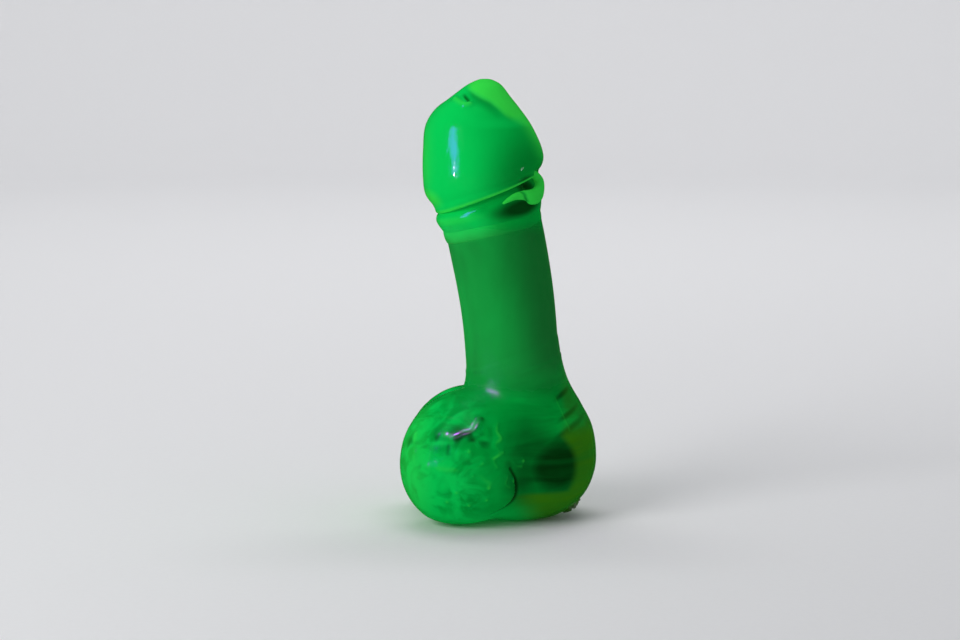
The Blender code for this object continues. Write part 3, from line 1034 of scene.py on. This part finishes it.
# The small lamps, which only show as highlights. Three strips of rising width make one with soft sides.
STRIP_PLACE = (-0.50, -0.355, 0.265)
STRIP_TARGET = (-0.01, 0.0, 0.12)
STRIP_HEIGHT = 0.24
STRIP_WIDTHS_AND_WATTS = ((0.05, 0.9), (0.11, 1.8), (0.18, 2.4))
SPOT_PLACE = (-0.50, -0.355, 0.075)
RIGHT_PLACE = (0.45, -0.03, 0.018)
RIGHT_TARGET = (0.015, -0.01, 0.07)
LOW_LAMP_PLACE = (-0.50, -0.355, 0.21)
HOLLOW_PLACE = (-0.0185, -0.0300, 0.0285)
PLEAT_LAMP_PLACE = (-0.175, -0.247, 0.57)
PLEAT_PLACE = (-0.0105, -0.0285, 0.0345)


def area_light(name, place, target, size, power, colour):
    data = bpy.data.lights.new(name, "AREA")
    data.shape = "RECTANGLE"
    data.size, data.size_y = size
    data.energy = power
    data.color = colour
    lamp = bpy.data.objects.new(name, data)
    lamp.location = place
    lamp.rotation_euler = (Vector(target) - Vector(place)).to_track_quat("-Z", "Y").to_euler()
    lamp.visible_camera = False
    bpy.context.scene.collection.objects.link(lamp)
    return lamp


def soft_light(name, place, target, size, power):
    """A soft lamp that the gloss doesn't show."""
    lamp = area_light(name, place, target, size, power, WHITE)
    lamp.visible_glossy = False


def glint(name, place, target, size, power, colour):
    """A small lamp that only the gloss shows."""
    lamp = area_light(name, place, target, size, power, colour)
    lamp.visible_diffuse = False
    return lamp


def shine_on(lamp, *names):
    """Keeps a lamp to the named pieces."""
    lit = bpy.data.collections.new(lamp.name + "_lit")
    for name in names:
        lit.objects.link(bpy.data.objects[name])
    lamp.light_linking.receiver_collection = lit


def make_backdrop():
    """A round pale floor that curves up into a wall all the way round."""
    profile = [(0.25, 0.0), (FLOOR_RADIUS, 0.0)]
    for k in range(1, BEND_STEPS + 1):
        angle = math.pi / 2 * k / BEND_STEPS
        profile.append((FLOOR_RADIUS + BEND * math.sin(angle), BEND - BEND * math.cos(angle)))
    profile.append((FLOOR_RADIUS + BEND, WALL_TOP))
    shape = bmesh.new()
    rings = []
    for radius, z in profile:
        ring = []
        for k in range(WALL_SIDES):
            turn = 2 * math.pi * k / WALL_SIDES
            ring.append(shape.verts.new((radius * math.cos(turn), radius * math.sin(turn), z - FLOOR_GAP)))
        rings.append(ring)
    shape.faces.new(rings[0])
    for low, high in zip(rings, rings[1:]):
        for k in range(WALL_SIDES):
            after = (k + 1) % WALL_SIDES
            shape.faces.new((low[k], high[k], high[after], low[after]))
    mesh = bpy.data.meshes.new("backdrop")
    shape.to_mesh(mesh)
    shape.free()
    mesh.shade_smooth()
    mesh.materials.append(pale_paper("backdrop_paper", (0.84, 0.84, 0.85)))
    thing = bpy.data.objects.new("backdrop", mesh)
    thing.visible_glossy = False
    bpy.context.scene.collection.objects.link(thing)


def make_studio():
    low, high = CAD_BOX
    middle = (Vector(low) + Vector(high)) / 2
    world = bpy.data.worlds.new("studio")
    world.use_nodes = True
    world.node_tree.nodes["Background"].inputs["Color"].default_value = (0.9, 0.93, 1.0, 1.0)
    world.node_tree.nodes["Background"].inputs["Strength"].default_value = 0.18
    world.cycles_visibility.glossy = False
    bpy.context.scene.world = world
    bpy.context.scene.view_settings.view_transform = "Standard"
    for name, place, target, size, power in SOFT_LAMPS:
        soft_light(name, place, target or middle, size, power)
    for width, power in STRIP_WIDTHS_AND_WATTS:
        size = (width, STRIP_HEIGHT + width)
        strip = glint("violet_strip", STRIP_PLACE, STRIP_TARGET, size, power, VIOLET)
        shine_on(strip, "head", "collar")
    spot = glint("violet_spot", SPOT_PLACE, STRIP_TARGET, (0.018, 0.012), 0.3, PALE_VIOLET)
    shine_on(spot, "head", "collar")
    low_lamp = glint("low_lamp", LOW_LAMP_PLACE, HOLLOW_PLACE, (0.05, 0.05), 0.003, LOW_VIOLET)
    low_lamp.data.spread = math.radians(5.0)
    pleat_lamp = glint("pleat_lamp", PLEAT_LAMP_PLACE, PLEAT_PLACE, (0.04, 0.04), 0.018, MAGENTA)
    pleat_lamp.data.spread = math.radians(3.0)
    right_strip = glint("right_strip", RIGHT_PLACE, RIGHT_TARGET, (0.008, 0.022), 0.035, COOL)
    shine_on(right_strip, "head")


CAMERA_DISTANCE = 0.770
CAMERA_ELEVATION = 8.0
CAMERA_LENS = 84.5
AIM = (-0.0062, 0.0, 0.068)


def make_camera():
    data = bpy.data.cameras.new("camera")
    data.lens = CAMERA_LENS
    data.sensor_width = 36.0
    data.clip_start = 0.01
    camera = bpy.data.objects.new("camera", data)
    angle = math.radians(CAMERA_ELEVATION)
    back = Vector((0.0, -math.cos(angle), math.sin(angle)))
    camera.location = Vector(AIM) + back * CAMERA_DISTANCE
    camera.rotation_euler = (-back).to_track_quat("-Z", "Y").to_euler()
    bpy.context.scene.collection.objects.link(camera)
    bpy.context.scene.camera = camera


make_camera()
make_backdrop()
make_body()
make_head()
make_wraps()
make_scar()
make_studio()
